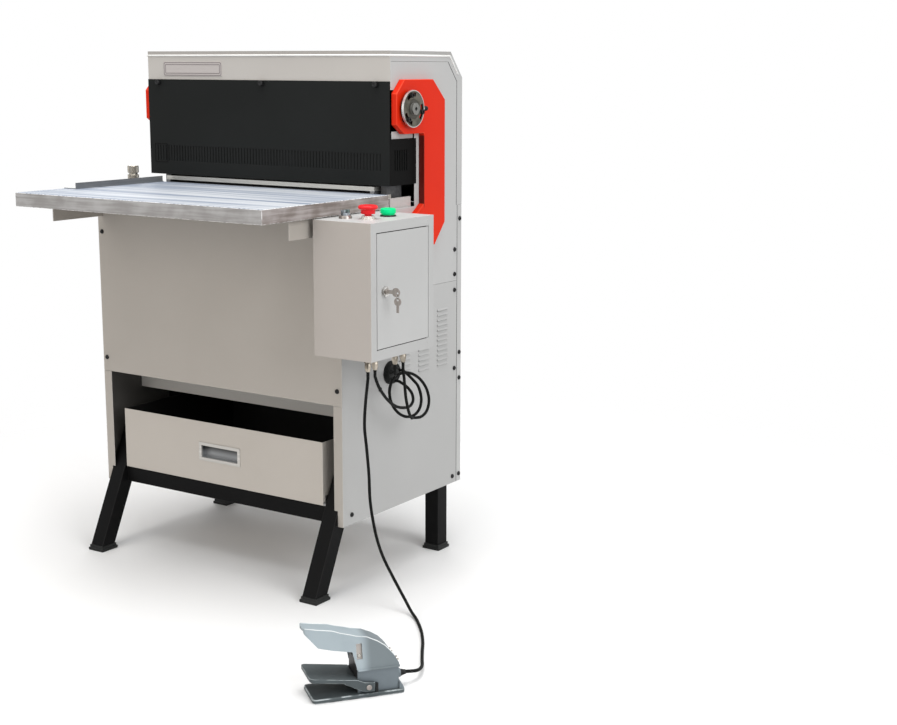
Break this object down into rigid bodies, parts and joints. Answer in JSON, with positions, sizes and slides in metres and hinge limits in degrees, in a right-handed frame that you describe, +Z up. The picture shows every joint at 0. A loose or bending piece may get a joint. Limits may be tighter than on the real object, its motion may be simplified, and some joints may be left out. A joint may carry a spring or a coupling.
{
  "type": "paper punching machine",
  "caption": "Floor-standing electric paper punch with a steel feed table, chip drawer, side control box and a foot pedal on a cord that starts the stroke.",
  "frame": {"origin": "on the floor, below the middle of the outer box of the machine and its pedal", "axes": "+X to the operator's right, +Y away from the operator, +Z up"},
  "size_m": [1.2069, 1.0194, 1.25],
  "materials": {
    "cream_paint": "smooth semi-gloss powder coat",
    "grey_paint": "smooth semi-gloss powder coat",
    "black_paint": "fine-textured satin powder coat",
    "red_paint": "smooth gloss paint",
    "motor_paint": "satin machine paint",
    "stainless": "streaked brushed stainless sheet",
    "steel": "ground steel",
    "tool_steel": "ground tool steel",
    "black_oxide": "black oxide",
    "nickel": "nickel plate",
    "plate": "plain satin plate",
    "bronze": "machined bronze",
    "black_plastic": "moulded",
    "rubber": "satin rubber",
    "switch_plastic": "moulded",
    "red_plastic": "moulded",
    "green_plastic": "moulded",
    "cast_alloy": "blue-grey painted casting"
  },
  "bodies": {
    "frame": {"stand_rails": "black_paint", "stand_legs": "black_paint", "leg_shoes": "black_plastic", "left_side_cover": "grey_paint", "right_side_cover": "grey_paint", "left_head_panel": "grey_paint", "right_head_panel": "grey_paint", "front_panel": "cream_paint", "rear_panel": "grey_paint", "top_cover": "cream_paint", "drawer_header": "cream_paint", "panel_screws": "black_oxide", "name_plate": "plate", "left_cheek_plate": "red_paint", "right_cheek_plate": "red_paint", "press_bed": "steel", "rear_tie_beam": "steel", "shaft_bushes": "bronze", "disc_screws": "black_oxide", "punch_cover": "black_paint", "cover_knobs": "black_plastic", "ram_guides": "steel", "gear_motor": "motor_paint", "motor_shelf": "black_paint", "drive_belt": "rubber", "work_table": "stainless", "table_arms": "cream_paint", "control_box": "grey_paint", "cable_glands": "nickel", "switch_gear": "switch_plastic", "switch_bezels": "nickel", "cable_grommet": "rubber", "loop_cable": "rubber", "drip_cable": "rubber", "short_cable": "rubber", "pedal_cord": "rubber", "drawer_runners": "steel", "pedal_base": "cast_alloy", "pedal_housing": "cast_alloy", "pedal_hood": "cast_alloy", "chip_chute": "steel", "stripper_plate": "steel", "die_plate": "tool_steel"},
    "shaft": {"main_shaft": "steel", "shaft_pulley": "steel"},
    "motor_wheel": {"motor_pulley": "steel"},
    "ram": {"press_ram": "steel", "punch_holder": "tool_steel", "punch_pins": "steel"},
    "disc": {"adjusting_disc": "steel"},
    "drawer": {"chip_drawer": "cream_paint", "drawer_handle": "steel"},
    "door": {"control_door": "grey_paint"},
    "key": {"lock_key": "nickel"},
    "stop_button": {"emergency_button": "red_plastic"},
    "start_button_cap": {"start_button": "green_plastic"},
    "selector": {"selector_knob": "black_plastic"},
    "guide": {"side_guide": "steel"},
    "guide_nut": {"guide_knob": "steel"},
    "tongue": {"pedal_tongue": "cast_alloy"}
  },
  "joints": [
    {"name": "shaft_turn", "type": "hinge", "parent": "frame", "child": "shaft", "pos_m": [-0.20745, 0.25765, 1.118], "axis": [1, 0, 0], "range_deg": [0, 180]},
    {"name": "ram_slide", "type": "slide", "parent": "frame", "child": "ram", "axis": [0, 0, -1], "range_m": [0, 0.012]},
    {"name": "motor_turn", "type": "hinge", "parent": "frame", "child": "motor_wheel", "pos_m": [-0.55745, 0.41965, 0.56], "axis": [1, 0, 0], "range_deg": [0, 180]},
    {"name": "disc_turn", "type": "hinge", "parent": "frame", "child": "disc", "pos_m": [0.18855, 0.25765, 1.118], "axis": [1, 0, 0], "range_deg": [-20, 20]},
    {"name": "drawer_slide", "type": "slide", "parent": "frame", "child": "drawer", "axis": [0, -1, 0], "range_m": [0, 0.3]},
    {"name": "door_hinge", "type": "hinge", "parent": "frame", "child": "door", "pos_m": [0.32605, 0.12865, 0.738], "axis": [0, 0, 1], "range_deg": [0, 110]},
    {"name": "key_turn", "type": "hinge", "parent": "door", "child": "key", "pos_m": [0.32755, -0.03935, 0.738], "axis": [1, 0, 0], "range_deg": [0, 90]},
    {"name": "emergency_press", "type": "slide", "parent": "frame", "child": "stop_button", "axis": [0, 0, -1], "range_m": [0, 0.004], "stiffness_N_per_m": 1500},
    {"name": "start_press", "type": "slide", "parent": "frame", "child": "start_button_cap", "axis": [0, 0, -1], "range_m": [0, 0.003], "stiffness_N_per_m": 1500},
    {"name": "selector_turn", "type": "hinge", "parent": "frame", "child": "selector", "pos_m": [0.21455, -0.02535, 0.888], "axis": [0, 0, 1], "range_deg": [-45, 45]},
    {"name": "guide_slide", "type": "slide", "parent": "frame", "child": "guide", "axis": [1, 0, 0], "range_m": [-0.007, 0.007]},
    {"name": "guide_knob_turn", "type": "hinge", "parent": "frame", "child": "guide_nut", "pos_m": [-0.55945, 0.10965, 0.922], "axis": [0, 0, 1], "continuous": true},
    {"name": "pedal_press", "type": "hinge", "parent": "frame", "child": "tongue", "pos_m": [0.52802, -0.39444, 0.021], "axis": [0.788, -0.6157, 0], "range_deg": [0, 10], "stiffness_Nm_per_rad": 40}
  ],
  "couplings": [
    {"joint": "shaft_turn", "follows": "ram_slide", "rad_per_m": 261.8},
    {"joint": "motor_turn", "follows": "ram_slide", "rad_per_m": 261.8}
  ]
}
